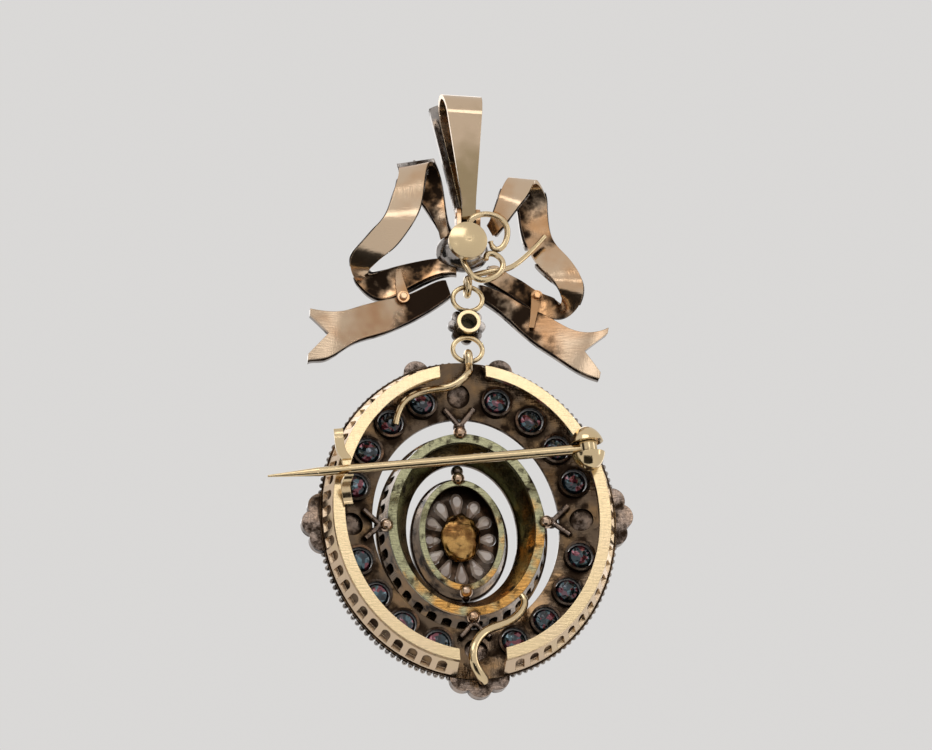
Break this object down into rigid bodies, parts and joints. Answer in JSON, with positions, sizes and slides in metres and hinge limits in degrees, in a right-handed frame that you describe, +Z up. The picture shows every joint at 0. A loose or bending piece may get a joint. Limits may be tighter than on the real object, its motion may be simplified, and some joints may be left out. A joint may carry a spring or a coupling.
{
  "type": "bow pendant brooch",
  "caption": "Antique bow-topped pendant brooch seen from its gold back: folded bail, curled ribbon bow, link, and an oval pierced pendant with stones and a hinged pin.",
  "frame": {"origin": "inside top of the bail, where it hangs", "axes": "+Z up along the hanging chain, +Y out of the stone-set front, +X to the right when the gold back is seen"},
  "size_m": [0.0369, 0.0133, 0.0643],
  "materials": {
    "polished_gold": "polished, softly worn",
    "peg_silver": "dull",
    "aged_silver": "tarnished in the hollows",
    "dark_silver": "dark tarnish",
    "green_gold": "tarnished, satin",
    "white_stone": "faceted",
    "dark_stone": "faceted, dark and iridescent",
    "petal_stone": "faceted, pink brown",
    "amber_stone": "faceted, amber"
  },
  "bodies": {
    "bail": {"bail_strap": "polished_gold", "bail_front_plate": "aged_silver", "bail_stones": "white_stone"},
    "bow": {"eye_pin": "polished_gold", "bow_knot": "aged_silver", "bow_eye": "polished_gold", "back_cap": "polished_gold", "cap_post": "polished_gold", "loop_left": "polished_gold", "loop_left_facing": "aged_silver", "loop_right": "polished_gold", "loop_right_facing": "aged_silver", "tail_left": "polished_gold", "tail_left_facing": "aged_silver", "tail_right": "polished_gold", "tail_right_facing": "aged_silver", "bow_stones": "white_stone", "scroll_wire_upper": "polished_gold", "scroll_wire_lower": "polished_gold", "bow_hook": "polished_gold", "brace_left": "polished_gold", "brace_right": "polished_gold", "brace_pegs": "peg_silver"},
    "link": {"link_rings": "dark_silver", "link_collet": "dark_silver", "link_cluster": "aged_silver", "link_stone": "white_stone"},
    "pendant": {"back_ring_left": "polished_gold", "back_ring_right": "polished_gold", "gallery_left": "polished_gold", "gallery_right": "polished_gold", "settings_plate": "dark_silver", "ring_stones": "dark_stone", "ring_collets": "dark_silver", "top_hook": "polished_gold", "bottom_hook": "polished_gold", "middle_rim": "green_gold", "middle_gallery": "dark_silver", "middle_funnel": "green_gold", "middle_plate": "aged_silver", "middle_stones": "white_stone", "joining_balls": "green_gold", "inner_rim": "green_gold", "inner_wall": "dark_silver", "petal_plate": "dark_silver", "petal_stones": "petal_stone", "centre_collet": "green_gold", "centre_stone": "amber_stone", "inner_balls": "green_gold", "fleurettes": "aged_silver", "fleurette_stones": "white_stone", "hinge_ears": "polished_gold", "hinge_rivet": "polished_gold", "catch_lower": "polished_gold", "catch_upper": "polished_gold"},
    "pin": {"pin_stem": "polished_gold"}
  },
  "joints": [
    {"name": "bail_swing", "type": "hinge", "parent": "bail", "child": "bow", "pos_m": [0.00056, 0, -0.01263], "axis": [1, 0, 0], "range_deg": [-20, 20]},
    {"name": "link_swing", "type": "hinge", "parent": "bow", "child": "link", "pos_m": [0.00056, 0, -0.02036], "axis": [0, 1, 0], "range_deg": [-12, 12]},
    {"name": "pendant_swing", "type": "hinge", "parent": "link", "child": "pendant", "pos_m": [0.00056, 0, -0.0284], "axis": [1, 0, 0], "range_deg": [-25, 25]},
    {"name": "pin_swing", "type": "hinge", "parent": "pendant", "child": "pin", "pos_m": [0.01176, -0.0049, -0.03864], "axis": [-0.1409, 0, 0.99], "range_deg": [0, 100]}
  ]
}
